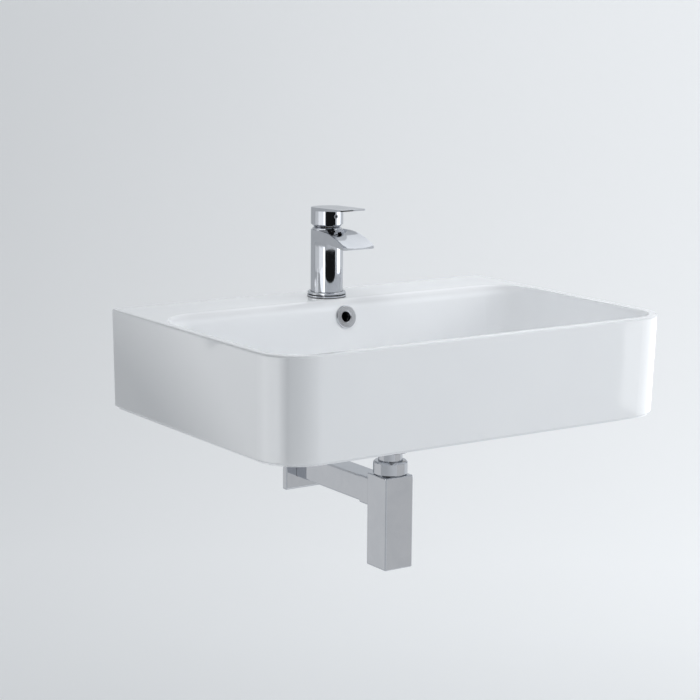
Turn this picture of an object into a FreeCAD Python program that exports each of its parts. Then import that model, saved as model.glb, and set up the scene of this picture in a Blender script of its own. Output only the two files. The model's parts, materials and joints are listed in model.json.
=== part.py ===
import FreeCAD, Part
import math
import os

# Countertop basin with a waterfall mixer tap, a sprung waste plug and a square bottle trap.
# Millimetres. The origin is on the waste's axis, on the counter; +Z is up and the front faces -Y.

# Basin
basin_width = 600.0
basin_depth = 420.0
basin_height = 132.0
front_corner_r = 55.0
back_corner_r = 6.0
side_draft = 2.3
front_draft = 4.2
rim_width = 12.0
rim_outer_r = 2.5
rim_inner_r = 2.5
base_edge_r = 2.0
roll_edge = 2.5
roll_inset = 0.3
roll_steps = 6
roll_to_tap = 2.0
deck_depth = 97.0
deck_thickness = 14.0
outer_wall = 12.0
foot_height = 2.5
foot_inset = 4.0
bowl_depth = 93.0
bowl_side_lean = 7.0
bowl_front_lean = 7.0
bowl_back_slope = 13.0
bowl_back_corner_r = 50.0
bowl_floor_r = 30.0
bowl_wall = 11.0
dish_depth = 1.5
dish_r = 56.0
wall_hole_r = 6.5
wall_hole_spacing = 280.0
wall_hole_height = 75.0

# Overflow
overflow_below_rim = 22.0
overflow_hole_r = 11.0
overflow_ring_r = 15.5
overflow_ring_bore_r = 7.0
overflow_ring_t = 2.4
overflow_spigot_length = 7.0
channel_width = 22.0
channel_depth = 8.0
channel_height = 11.0
channel_wall = 6.0
channel_behind = 8.0

# Waste
waste_flange_r = 32.0
waste_flange_t = 2.5
waste_flange_proud = 0.6
waste_flange_edge = 1.0
waste_seat_width = 5.0
waste_seat_depth = 3.0
waste_seal_t = 1.5
waste_tail_r = 20.95
waste_bore_r = 18.75
waste_tail_below = 46.0
waste_hole_r = 23.0
waste_boss_r = 38.0
waste_boss_clear = 4.0
waste_slot_width = 12.0
waste_slots = 4
spider_arms = 3
spider_arm_t = 3.0
spider_height = 8.0
spider_hub_r = 10.0
plug_r = 28.0
plug_edge_t = 2.2
plug_dome = 3.0
plug_seal_t = 1.6
plug_seal_lip = 2.4
plug_seal_root = 2.0
plug_stem_r = 5.0
plug_travel = 10.0
barrel_r = 7.0
barrel_length = 46.0
barrel_below_flange = 15.1
barrel_floor_t = 3.0
barrel_collar_t = 2.0
spring_wire_r = 0.6
spring_coil_r = 3.6
spring_turns = 6
spring_length = 14.0
waste_washer_t = 3.5
waste_washer_r = 32.0
backnut_flats = 54.0
backnut_height = 9.0

# Bottle trap
coupling_flats = 48.0
coupling_height = 26.0
coupling_lip_t = 3.0
inlet_washer_t = 2.0
inlet_flange_t = 2.0
trap_tube_r = 16.0
trap_tube_wall = 1.5
trap_width = 44.0
trap_edge_r = 2.5
trap_wall = 3.0
trap_top_below = 84.0
trap_bottom_below = 209.0
trap_boss_height = 12.0
trap_boss_wall = 3.2
dip_clear = 18.0
top_nut_wall = 3.2
top_nut_lip_t = 3.2
top_nut_clear = 1.0
top_nut_edge = 2.0
top_seal_t = 3.4
top_seal_rim = 1.0
top_seal_nose = 1.2
cleanout_r = 14.0
cleanout_flange_r = 17.0
cleanout_flange_t = 3.0
cleanout_edge = 0.6
cleanout_thread_length = 7.0
cleanout_slot = 3.0
cleanout_ring_section_r = 0.9
outlet_below = 111.0
outlet_collar = 38.0
outlet_collar_length = 22.0
outlet_stop_t = 3.0
outlet_ring_section_r = 0.9
outlet_cover_wall = 1.2
outlet_tail = 45.0
tail_groove_width = 2.0
tail_groove_depth = 0.4
wall_flange_width = 70.0
wall_flange_t = 8.0
wall_flange_edge_r = 2.5

# Mixer tap; heights are above the deck
tap_from_back = 55.0
tap_hole_r = 17.5
tap_r = 21.9
tap_height = 91.7
tap_top_edge_r = 0.6
tap_seal_t = 1.5
tap_seal_width = 3.5
tap_recess_r = 17.0
tap_recess_top = 14.0
base_ring_r = 26.35
base_ring_height = 7.6
base_ring_groove = 1.0
base_ring_groove_half = 0.3
base_ring_groove_slope = 0.5
base_ring_setback = 0.3
base_ring_edge = 1.2
inlet_r = 5.0
inlet_depth = 12.0
inlet_spacing = 17.0
inlet_forward = 2.0
port_r = 3.0
spout_reach = 78.0
spout_lip_width = 49.0
spout_lip_t = 2.6
spout_drop = 17.0
spout_straight = 18.0
spout_root_height = 16.0
spout_arch_drop = 0.2
spout_lip_bow = 2.0
tray_rim = 2.2
tray_depth = 6.5
tray_lip_depth = 0.6
tray_slot_width = 22.0
tray_slot_height = 4.0
flute_width = 14.0
flute_depth = 1.8

# Cartridge
cartridge_below_top = 7.2
cartridge_height = 40.5
cartridge_bore_r = 18.2
cartridge_r = 17.6
cartridge_wall = 2.0
cartridge_top_t = 3.0
cartridge_base_t = 5.0
port_seal_t = 2.0
port_seal_wall = 1.5
fixed_disc_t = 4.5
moving_disc_t = 4.0
moving_disc_r = 11.0
carrier_t = 5.4
carrier_floor_t = 1.2
turret_neck_r = 9.0
turret_neck_above = 3.0
pivot_below_top = 10.5
pivot_pin_r = 1.6
pivot_pin_length = 26.0
stem_width = 8.0
stem_tip_r = 3.0
stem_neck_r = 2.2
stem_in_hub = 16.4
stem_lean = 10.0
cartridge_nut_flats = 27.0
cover_r = 19.8
cover_height = 4.5
cover_edge = 1.9
cover_t = 2.0
cover_opening_r = 11.0
cover_lip = 1.0
cover_lip_edge = 0.6
cover_shoulder = 2.8
cover_crown = 0.4
cover_skirt_t = 1.9
cover_skirt_depth = 1.2

# Lever handle
hub_gap = 0.4
hub_height = 25.5
hub_wall = 4.4
hub_chamfer = 2.7
lever_reach = 63.0
lever_tip_width = 42.0
lever_tip_corner_r = 4.0
lever_slope = 1.8
lever_root_t = 5.2
lever_tip_t = 2.2
lever_edge_r = 0.8
socket_boss_r = 8.0
socket_boss_gap = 3.4
grub_above_hub = 14.0
grub_r = 2.5
grub_length = 6.0
indicator_r = 3.0
indicator_depth = 2.2
indicator_proud = 0.3

# Tap fixings
stud_r = 4.0
stud_length = 62.0
stud_back = 12.0
stud_in_body = 12.0
washer_r = 23.0
washer_gap = 30.0
rubber_washer_t = 3.0
clamp_washer_t = 3.0
stud_nut_flats = 13.0
stud_nut_height = 12.0

# Clearances
slip = 0.3
thread_gap = 0.1
running = 0.06
film = 0.02
touch = 0.01

# Derived places
half_width = basin_width / 2
front_y = -basin_depth / 2
back_y = basin_depth / 2
deck_edge_y = back_y - deck_depth
floor_z = basin_height - bowl_depth
dish_z = floor_z - dish_depth
flange_top_z = dish_z + waste_flange_proud
flange_seat_z = flange_top_z - waste_flange_t
seal_seat_z = flange_seat_z - waste_seal_t
boss_z = waste_boss_clear
channel_z = (boss_z + seal_seat_z - channel_height) / 2
barrel_top_z = flange_top_z - barrel_below_flange
barrel_bottom_z = barrel_top_z - barrel_length
spider_z = (barrel_top_z + barrel_bottom_z) / 2
plug_bottom_z = flange_top_z + slip
tail_z = -waste_tail_below
tap_y = back_y - tap_from_back
deck_z = basin_height
slope_tan = math.tan(math.radians(bowl_back_slope))
overflow_z = basin_height - overflow_below_rim
trap_top_z = -trap_top_below
trap_bottom_z = -trap_bottom_below
outlet_z = -outlet_below
half_trap = trap_width / 2
collar_end_y = half_trap + outlet_collar_length
cartridge_top = tap_height - cartridge_below_top
seat_height = cartridge_top - cartridge_height
pivot_height = cartridge_top - pivot_below_top
fixed_disc_z = seat_height + cartridge_base_t
moving_disc_z = fixed_disc_z + fixed_disc_t + film
carrier_z = moving_disc_z + moving_disc_t
turret_z = carrier_z + carrier_t + slip
drum_top_z = cartridge_top - cartridge_top_t - film
pocket_z = carrier_z + carrier_floor_t
stem_tip_z = pocket_z + slip + stem_tip_r
hub_bottom = tap_height + cover_height + hub_gap
stem_top_z = hub_bottom + stem_in_hub
lever_top_height = hub_bottom + hub_height
grub_height = hub_bottom + grub_above_hub
V = FreeCAD.Vector


# Shape helpers

def cylinder(r, z0, z1, x=0.0, y=0.0):
    return Part.makeCylinder(r, z1 - z0, V(x, y, z0))


def tube(r_out, r_in, z0, z1, x=0.0, y=0.0):
    return revolve([(r_in, z0), (r_out, z0), (r_out, z1), (r_in, z1)]).translated(V(x, y, 0))


def box(x0, x1, y0, y1, z0, z1):
    return Part.makeBox(x1 - x0, y1 - y0, z1 - z0, V(x0, y0, z0))


def revolve(points):
    """Turn an outline of (radius, height) points about the Z axis."""
    corners = [V(r, 0, z) for r, z in points]
    face = Part.Face(Part.makePolygon(corners + corners[:1]))
    return face.revolve(V(0, 0, 0), V(0, 0, 1), 360)


def slab(points, half):
    """Extrude an outline of (y, z) points across X, the same distance to both sides."""
    corners = [V(-half, y, z) for y, z in points]
    face = Part.Face(Part.makePolygon(corners + corners[:1]))
    return face.extrude(V(2 * half, 0, 0))


def rounded_outline(half_x, y0, y1, r0, r1, z):
    """A rectangle in plan with corner radius r0 at its front and r1 at its back."""
    s = math.sqrt(0.5)
    corners = [(half_x, y0, r0, 1, -1), (half_x, y1, r1, 1, 1),
               (-half_x, y1, r1, -1, 1), (-half_x, y0, r0, -1, -1)]
    arcs = []
    for x, y, r, sx, sy in corners:
        centre = V(x - sx * r, y - sy * r, z)
        across = centre + V(0, sy * r, 0)
        along = centre + V(sx * r, 0, 0)
        ends = (across, along) if sx * sy < 0 else (along, across)
        arcs.append((ends[0], centre + V(sx * r * s, sy * r * s, 0), ends[1]))
    edges = []
    for i, arc in enumerate(arcs):
        edges.append(Part.Arc(*arc).toShape())
        edges.append(Part.LineSegment(arc[2], arcs[(i + 1) % 4][0]).toShape())
    return Part.Wire(edges)


def ruled_form(bottom, top):
    """A straight-walled block between two outlines, with true planes for its flat sides."""
    form = Part.makeLoft([bottom, top], True, True)
    faces = []
    for face in form.Faces:
        plane = face.findPlane()
        faces.append(Part.Face(plane, face.OuterWire) if plane else face)
    return Part.Solid(Part.Shell(faces))


def rounded_bar(half, r, z0, z1):
    """An upright square bar with rounded edges."""
    return Part.Face(rounded_outline(half, -half, half, r, r, z0)).extrude(V(0, 0, z1 - z0))


def hex_bar(flats, z0, z1):
    across = flats / math.sqrt(3)
    turns = [math.radians(60 * i) for i in range(7)]
    corners = [V(across * math.cos(a), across * math.sin(a), z0) for a in turns]
    return Part.Face(Part.makePolygon(corners)).extrude(V(0, 0, z1 - z0))


def hex_nut(flats, z0, z1, bore_r):
    """A hexagon nut with its corners turned off at both ends."""
    corner_r = flats / math.sqrt(3)
    cut = corner_r - flats / 2
    turned = revolve([(0, z0), (flats / 2, z0), (corner_r, z0 + cut), (corner_r, z1 - cut),
                      (flats / 2, z1), (0, z1)])
    return hex_bar(flats, z0, z1).common(turned).cut(cylinder(bore_r, z0, z1))


def flat_edges(shape, z):
    """The edges that lie level at one height."""
    return [e for e in shape.Edges
            if abs(e.BoundBox.ZMin - z) < touch and abs(e.BoundBox.ZMax - z) < touch]


def along_y(shape, z):
    """Lay a shape that was made about the Z axis along +Y at one height."""
    shape = shape.copy()
    shape.rotate(V(0, 0, 0), V(1, 0, 0), -90)
    return shape.translated(V(0, 0, z))


def ring(mean_r, section_r, z):
    return Part.makeTorus(mean_r, section_r, V(0, 0, z))


def on_tap(shape):
    """Move a tap piece from its own axis and the deck's surface to its place."""
    return shape.translated(V(0, tap_y, deck_z))


def leaning(shape):
    """Lean a piece forward about the lever's pivot, as the closed lever holds it."""
    shape = shape.copy()
    shape.rotate(V(0, 0, pivot_height), V(1, 0, 0), stem_lean)
    return shape


# Ceramic basin

def bowl_back_y(z):
    return deck_edge_y - (basin_height - z) * slope_tan


def bowl_outline(z, spread):
    """The bowl's plan outline at one height, grown by spread to all sides."""
    share = (basin_height - z) / bowl_depth
    half = half_width - rim_width - bowl_side_lean * share + spread
    front = front_y + rim_width + bowl_front_lean * share - spread
    front_r = front_corner_r - rim_width + spread
    return rounded_outline(half, front, bowl_back_y(z) + spread, front_r,
                           bowl_back_corner_r + spread, z)


def bowl_form(spread):
    """The bowl's inside, or with a spread the outside of its wall."""
    bottom = floor_z - spread
    form = ruled_form(bowl_outline(bottom, spread), bowl_outline(basin_height, spread))
    return form.makeFillet(bowl_floor_r + spread, flat_edges(form, bottom))


def outer_form():
    base = rounded_outline(half_width - side_draft, front_y + front_draft, back_y,
                           front_corner_r, back_corner_r, foot_height)
    top = rounded_outline(half_width, front_y, back_y, front_corner_r, back_corner_r, basin_height)
    form = ruled_form(base, top)
    form = form.makeFillet(rim_outer_r, flat_edges(form, basin_height))
    return form.makeFillet(base_edge_r, flat_edges(form, foot_height))


def base_prism(inset, z0, z1):
    """A straight block inside the basin's base outline."""
    outline = rounded_outline(half_width - side_draft - inset, front_y + front_draft + inset, back_y - inset,
                              front_corner_r - inset, back_corner_r, z0)
    return Part.Face(outline).extrude(V(0, 0, z1 - z0))


def deck_roll():
    """What is taken off so that the deck rolls softly into the bowl's back wall, fading out at the corners."""
    start = math.radians(bowl_back_slope + roll_edge)
    end = math.radians(90 - roll_edge)
    drop = math.sin(end) - math.sin(start)
    run = math.cos(start) - math.cos(end)
    roll_r = (tap_y - base_ring_r - roll_to_tap - deck_edge_y) / (run - drop * slope_tan)
    foot_y = bowl_back_y(basin_height - roll_r * drop)
    outlines = []
    for step in range(roll_steps + 1):
        angle = start + (end - start) * step / roll_steps
        z = basin_height - roll_r * (math.sin(end) - math.sin(angle))
        back = foot_y + roll_r * (math.cos(start) - math.cos(angle))
        corner_r = bowl_back_corner_r + back - bowl_back_y(z)
        half = half_width - rim_width - bowl_side_lean * (basin_height - z) / bowl_depth - roll_inset
        outlines.append(rounded_outline(half, 0, back, rim_width, corner_r, z))
    return Part.makeLoft(outlines, True)


def overflow_channel(z0, z1, front_gap, back_gap, height):
    """Side outline of the duct that runs down behind the bowl and forward to the waste."""
    return [(bowl_back_y(z1) + front_gap, z1), (bowl_back_y(z1) + back_gap, z1),
            (bowl_back_y(z0) + back_gap, z0), (0, z0),
            (0, z0 + height), (bowl_back_y(z0 + height) + front_gap, z0 + height)]


def basin_body():
    channel_back = channel_behind + channel_depth
    duct_top = overflow_z + overflow_hole_r + channel_wall
    duct_height = channel_z + channel_height + channel_wall - boss_z
    duct = slab(overflow_channel(boss_z, duct_top, -bowl_floor_r, channel_back + channel_wall, duct_height),
                channel_width / 2 + channel_wall)
    passage = slab(overflow_channel(channel_z, overflow_z + overflow_hole_r, channel_behind, channel_back,
                                    channel_height), channel_width / 2)
    boss = cylinder(waste_boss_r, boss_z, floor_z)
    bowl = bowl_form(0)
    hollow = base_prism(outer_wall, 0, basin_height - deck_thickness)
    hollow = hollow.cut(bowl_form(bowl_wall)).cut(duct).cut(boss)
    body = outer_form().fuse(base_prism(foot_inset, 0, foot_height + base_edge_r))
    body = body.cut(bowl)
    body = body.makeFillet(rim_inner_r, [e for e in flat_edges(body, basin_height) if is_bowl_edge(e)])
    body = body.cut(deck_roll())
    body = body.cut(hollow).cut(passage)
    body = body.cut(Part.makeCone(waste_flange_r, dish_r, dish_depth, V(0, 0, dish_z)))
    body = body.cut(cylinder(waste_flange_r + slip, seal_seat_z, floor_z))
    body = body.cut(cylinder(waste_hole_r, 0, floor_z))
    body = body.cut(cylinder(tap_hole_r, basin_height - deck_thickness, basin_height, 0, tap_y))
    hole = cylinder(overflow_hole_r, -bowl_wall - channel_depth / 2, overflow_ring_t)
    body = body.cut(on_overflow(hole))
    for side in (-1, 1):
        hole = along_y(cylinder(wall_hole_r, back_y - outer_wall, back_y), wall_hole_height)
        body = body.cut(hole.translated(V(side * wall_hole_spacing / 2, 0, 0)))
    return body.removeSplitter()


def is_bowl_edge(edge):
    """Does a level edge lie on the bowl's mouth, and not on the basin's outside?"""
    reach = edge.BoundBox
    half = half_width - rim_width + touch
    return -half < reach.XMin and reach.XMax < half and reach.YMin > front_y + rim_width - touch


def on_overflow(shape):
    """Turn a shape made about +Z onto the bowl's sloping back wall at the overflow."""
    shape = shape.copy()
    shape.rotate(V(0, 0, 0), V(1, 0, 0), 90 - bowl_back_slope)
    return shape.translated(V(0, bowl_back_y(overflow_z), overflow_z))


def overflow_ring():
    bevel = overflow_ring_t / 2
    spigot_r = overflow_hole_r - slip
    return on_overflow(revolve([
        (overflow_ring_bore_r, -overflow_spigot_length), (spigot_r, -overflow_spigot_length), (spigot_r, 0),
        (overflow_ring_r, 0), (overflow_ring_r, bevel), (overflow_ring_r - bevel, overflow_ring_t),
        (overflow_ring_bore_r + bevel, overflow_ring_t), (overflow_ring_bore_r, bevel)]))


# Waste with its sprung plug

def waste_body():
    edge = waste_flange_edge
    body = revolve([
        (waste_bore_r, tail_z), (waste_tail_r, tail_z), (waste_tail_r, flange_seat_z),
        (waste_flange_r, flange_seat_z), (waste_flange_r, flange_top_z - edge),
        (waste_flange_r - edge, flange_top_z), (waste_bore_r + waste_seat_width, flange_top_z),
        (waste_bore_r, flange_top_z - waste_seat_depth)])
    for i in range(waste_slots):
        slot = box(0, waste_flange_r, -waste_slot_width / 2, waste_slot_width / 2,
                   channel_z, channel_z + channel_height)
        slot.rotate(V(0, 0, 0), V(0, 0, 1), 45 + 360.0 / waste_slots * i)
        body = body.cut(slot)
    low = spider_z - spider_height / 2
    high = spider_z + spider_height / 2
    spider = cylinder(spider_hub_r, low, high)
    for i in range(spider_arms):
        arm = box(0, (waste_bore_r + waste_tail_r) / 2, -spider_arm_t / 2, spider_arm_t / 2, low, high)
        arm.rotate(V(0, 0, 0), V(0, 0, 1), 360.0 / spider_arms * i)
        spider = spider.fuse(arm)
    hub_bore = cylinder(barrel_r + thread_gap, low, high)
    return body.fuse(spider).cut(hub_bore).removeSplitter()


def waste_seal():
    return tube(waste_flange_r - slip, waste_hole_r, seal_seat_z, flange_seat_z)


def waste_plug():
    z = plug_bottom_z
    rise = plug_dome
    dome_r = (plug_r ** 2 + rise ** 2) / (2 * rise)
    disc = cylinder(plug_r, z, z + plug_edge_t + rise)
    ball = Part.makeSphere(dome_r, V(0, 0, z + plug_edge_t + rise - dome_r))
    return disc.common(ball).cut(cylinder(plug_stem_r + thread_gap, z, z + plug_edge_t))


def plug_seal():
    z = plug_bottom_z
    return tube(waste_bore_r + plug_seal_lip, waste_bore_r - plug_seal_root, z - plug_seal_t, z)


def plug_stem():
    bottom = barrel_bottom_z + barrel_floor_t + spring_length
    collar = tube(waste_bore_r - plug_seal_root - slip, plug_stem_r, plug_bottom_z - plug_seal_t, plug_bottom_z)
    return cylinder(plug_stem_r, bottom, plug_bottom_z + plug_edge_t).fuse(collar)


def click_barrel():
    bore = cylinder(plug_stem_r + running, barrel_bottom_z + barrel_floor_t, barrel_top_z)
    seat = spider_z + spider_height / 2
    collar = cylinder(spider_hub_r, seat, seat + barrel_collar_t)
    return cylinder(barrel_r, barrel_bottom_z, barrel_top_z).fuse(collar).cut(bore)


def biarc(p0, t0, p1, t1):
    """Two arcs that join two points with the given directions."""
    chord = p1 - p0
    both = t0 + t1
    a = 4 - both.dot(both)
    b = 2 * chord.dot(both)
    reach = (-b + math.sqrt(b * b + 4 * a * chord.dot(chord))) / (2 * a)
    q0 = p0 + t0 * reach
    q1 = p1 - t1 * reach
    joint = (q0 + q1) * 0.5
    edges = []
    for start, corner, end in ((p0, q0, joint), (joint, q1, p1)):
        weight = (end - start).Length / (2 * reach)
        middle = (start + corner * (2 * weight) + end) * (1 / (2 + 2 * weight))
        edges.append(Part.Arc(start, middle, end).toShape())
    return edges


def click_spring():
    """The coil under the plug's stem, as quarter turns of a helix."""
    bottom = barrel_bottom_z + barrel_floor_t + spring_wire_r + running
    rise = spring_length - 2 * (spring_wire_r + running)
    quarters = 4 * spring_turns
    pitch = rise / spring_turns
    points = []
    for i in range(quarters + 1):
        a = math.pi / 2 * i
        place = V(spring_coil_r * math.cos(a), spring_coil_r * math.sin(a), bottom + rise * i / quarters)
        way = V(-math.sin(a), math.cos(a), pitch / (2 * math.pi * spring_coil_r))
        points.append((place, way.normalize()))
    edges = []
    for (p0, t0), (p1, t1) in zip(points, points[1:]):
        edges += biarc(p0, t0, p1, t1)
    start, way = points[0]
    section = Part.Wire([Part.Circle(start, way, spring_wire_r).toShape()])
    print("spring gap between turns", round(pitch - 2 * spring_wire_r, 2))
    return Part.Wire(edges).makePipeShell([section], True, False)


def waste_washer():
    return tube(waste_washer_r, waste_tail_r + slip, boss_z - waste_washer_t, boss_z)


def waste_backnut():
    top = boss_z - waste_washer_t
    return hex_nut(backnut_flats, top - backnut_height, top, waste_tail_r + thread_gap)


# Bottle trap

def inlet_flange_z():
    return tail_z - inlet_washer_t - inlet_flange_t


def trap_inlet_washer():
    return tube(waste_tail_r - slip, trap_tube_r - trap_tube_wall, tail_z - inlet_washer_t, tail_z)


def trap_inlet_tube():
    inner = trap_tube_r - trap_tube_wall
    z = inlet_flange_z()
    end = trap_bottom_z + trap_wall + dip_clear
    return revolve([(inner, end), (trap_tube_r, end), (trap_tube_r, z), (waste_tail_r - slip, z),
                    (waste_tail_r - slip, z + inlet_flange_t), (inner, z + inlet_flange_t)])


def trap_coupling_nut():
    z = inlet_flange_z() - coupling_lip_t
    nut = hex_nut(coupling_flats, z, z + coupling_height, trap_tube_r + slip)
    return nut.cut(cylinder(waste_tail_r + thread_gap, inlet_flange_z(), z + coupling_height))


def trap_boss_r():
    return trap_tube_r + slip + trap_boss_wall


def trap_body():
    block = rounded_bar(half_trap, trap_edge_r, trap_bottom_z, trap_top_z)
    block = block.makeFillet(trap_edge_r * 0.6, flat_edges(block, trap_bottom_z) + flat_edges(block, trap_top_z))
    block = block.fuse(cylinder(trap_boss_r(), trap_top_z - trap_wall, trap_top_z + trap_boss_height))
    collar = rounded_bar(outlet_collar / 2, trap_edge_r, half_trap - trap_wall, collar_end_y)
    block = block.fuse(along_y(collar, outlet_z))
    inside = rounded_bar(half_trap - trap_wall, trap_edge_r, trap_bottom_z + trap_wall + cleanout_flange_t,
                         trap_top_z - trap_wall)
    block = block.cut(inside)
    block = block.cut(cylinder(trap_tube_r + slip, trap_top_z - trap_wall, trap_top_z + trap_boss_height))
    socket_y = half_trap + outlet_stop_t
    block = block.cut(along_y(cylinder(trap_tube_r + running * 2, socket_y, collar_end_y), outlet_z))
    block = block.cut(along_y(cylinder(trap_tube_r - trap_tube_wall, 0, socket_y), outlet_z))
    groove = tube(outlet_groove_r(), trap_tube_r, outlet_ring_y() - groove_half(outlet_ring_section_r),
                  outlet_ring_y() + groove_half(outlet_ring_section_r))
    block = block.cut(along_y(groove, outlet_z))
    block = block.cut(cylinder(cleanout_r + thread_gap, trap_bottom_z, trap_bottom_z + half_trap))
    recess = cylinder(cleanout_flange_r + slip, trap_bottom_z, trap_bottom_z + cleanout_flange_t)
    return block.cut(recess).removeSplitter()


def groove_half(section_r):
    return section_r + slip


def outlet_ring_y():
    return half_trap + outlet_stop_t + (outlet_collar_length - outlet_stop_t) / 2


def outlet_groove_r():
    return trap_tube_r + 2 * outlet_ring_section_r + 2 * running


def trap_outlet_ring():
    return along_y(ring(trap_tube_r + outlet_ring_section_r + running, outlet_ring_section_r, outlet_ring_y()),
                   outlet_z)


def trap_top_seal():
    z = trap_top_z + trap_boss_height
    return revolve([(trap_tube_r + running, z), (trap_boss_r(), z), (trap_boss_r(), z + top_seal_rim),
                    (trap_tube_r + top_seal_nose, z + top_seal_t), (trap_tube_r + running, z + top_seal_t)])


def trap_top_nut():
    seal_top = trap_top_z + trap_boss_height + top_seal_t
    bore = trap_boss_r() + thread_gap
    outer = bore + top_nut_wall
    bottom = trap_top_z + top_nut_clear
    top = seal_top + top_nut_lip_t
    edge = top_nut_edge
    return revolve([(bore, bottom), (outer - edge / 2, bottom), (outer, bottom + edge / 2), (outer, top - edge),
                    (outer - edge, top), (trap_tube_r + slip, top), (trap_tube_r + slip, seal_top), (bore, seal_top)])


def trap_cleanout_plug():
    z = trap_bottom_z + cleanout_flange_t
    groove_r = cleanout_r - 2 * cleanout_ring_section_r
    groove_top = z + 2 * groove_half(cleanout_ring_section_r)
    plug = revolve([(0, trap_bottom_z), (cleanout_flange_r - cleanout_edge, trap_bottom_z),
                    (cleanout_flange_r, trap_bottom_z + cleanout_edge), (cleanout_flange_r, z), (groove_r, z),
                    (groove_r, groove_top), (cleanout_r, groove_top), (cleanout_r, z + cleanout_thread_length),
                    (0, z + cleanout_thread_length)])
    slot = box(-cleanout_r, cleanout_r, -cleanout_slot / 2, cleanout_slot / 2, trap_bottom_z,
               trap_bottom_z + cleanout_flange_t / 2)
    return plug.cut(slot)


def trap_cleanout_ring():
    z = trap_bottom_z + cleanout_flange_t + groove_half(cleanout_ring_section_r)
    return ring(cleanout_r - cleanout_ring_section_r + running, cleanout_ring_section_r, z)


def trap_outlet_pipe():
    """The pipe into the wall, with a turned groove that marks how far it goes in."""
    start = half_trap + outlet_stop_t
    pipe = tube(trap_tube_r, trap_tube_r - trap_tube_wall, start, back_y + outlet_tail)
    groove = tube(trap_tube_r + trap_tube_wall, trap_tube_r - tail_groove_depth, back_y, back_y + tail_groove_width)
    return along_y(pipe.cut(groove), outlet_z)


def cover_half():
    return trap_tube_r + slip + outlet_cover_wall


def trap_outlet_cover():
    sleeve = rounded_bar(cover_half(), trap_edge_r, collar_end_y, back_y)
    bore = rounded_bar(cover_half() - outlet_cover_wall, trap_edge_r - outlet_cover_wall, collar_end_y, back_y)
    return along_y(sleeve.cut(bore), outlet_z)


def wall_flange():
    front = back_y - wall_flange_t
    plate = rounded_bar(wall_flange_width / 2, trap_edge_r, front, back_y)
    plate = plate.makeFillet(wall_flange_edge_r, flat_edges(plate, front))
    return along_y(plate.cut(rounded_bar(cover_half() + slip, trap_edge_r, front, back_y)), outlet_z)


# Mixer tap body and foot

def spout_bend_r():
    """Radius of the spout's upper edge, which bends down from the level to the lip."""
    run = spout_reach - spout_straight
    return (run ** 2 + spout_drop ** 2) / (2 * spout_drop)


def spout_top(forward):
    """Height of the spout's upper edge at a distance in front of the axis."""
    bent = max(forward - spout_straight, 0)
    return tap_height - spout_bend_r() + math.sqrt(spout_bend_r() ** 2 - bent ** 2)


def spout_form(half):
    """The arched spout in side view."""
    def edge_point(forward, z):
        return V(-half, -forward, z)

    middle = (spout_straight + spout_reach) / 2
    back_top = edge_point(0, tap_height)
    straight = edge_point(spout_straight, tap_height)
    bend = edge_point(middle, spout_top(middle))
    lip = edge_point(spout_reach, spout_top(spout_reach))
    under = edge_point(spout_reach - spout_lip_t / 2, spout_top(spout_reach) - spout_lip_t)
    root = edge_point(0, tap_height - spout_root_height)
    arch = edge_point(spout_reach * 0.6, tap_height - spout_root_height - spout_arch_drop)
    edges = [Part.LineSegment(back_top, straight).toShape(), Part.Arc(straight, bend, lip).toShape(),
             Part.LineSegment(lip, under).toShape(), Part.Arc(under, arch, root).toShape(),
             Part.LineSegment(root, back_top).toShape()]
    return Part.Face(Part.Wire(edges)).extrude(V(2 * half, 0, 0))


def tray_section(forward, depth):
    """The open tray across the spout: a round hollow between its two rims."""
    half = tap_r + (spout_lip_width / 2 - tap_r) * forward / spout_reach - tray_rim
    z = spout_top(forward)
    left = V(-half, -forward, z)
    right = V(half, -forward, z)
    above = V(0, 0, tray_depth)
    return Part.Wire([Part.Arc(left, V(0, -forward, z - depth), right).toShape(),
                      Part.LineSegment(right, right + above).toShape(),
                      Part.LineSegment(right + above, left + above).toShape(),
                      Part.LineSegment(left + above, left).toShape()])


def spout_tray():
    """The tray's hollow, which runs out to almost nothing at the lip."""
    run = spout_reach + spout_lip_bow - spout_straight
    sections = [tray_section(0, tray_depth)]
    for share in (0, 0.25, 0.5, 0.75, 1):
        sections.append(tray_section(spout_straight + run * share,
                                     tray_depth + (tray_lip_depth - tray_depth) * share))
    return Part.makeLoft(sections, True, False)


def spout_plan():
    """The spout seen from above, flaring a little to its bowed lip."""
    half_lip = spout_lip_width / 2
    half_root = tap_r
    lip_y = -spout_reach + spout_lip_bow
    left = V(-half_lip, lip_y, 0)
    right = V(half_lip, lip_y, 0)
    edges = [Part.LineSegment(V(-half_root, 0, 0), left).toShape(),
             Part.Arc(left, V(0, -spout_reach, 0), right).toShape(),
             Part.LineSegment(right, V(half_root, 0, 0)).toShape(),
             Part.LineSegment(V(half_root, 0, 0), V(-half_root, 0, 0)).toShape()]
    return Part.Face(Part.Wire(edges)).extrude(V(0, 0, 2 * tap_height))


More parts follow.
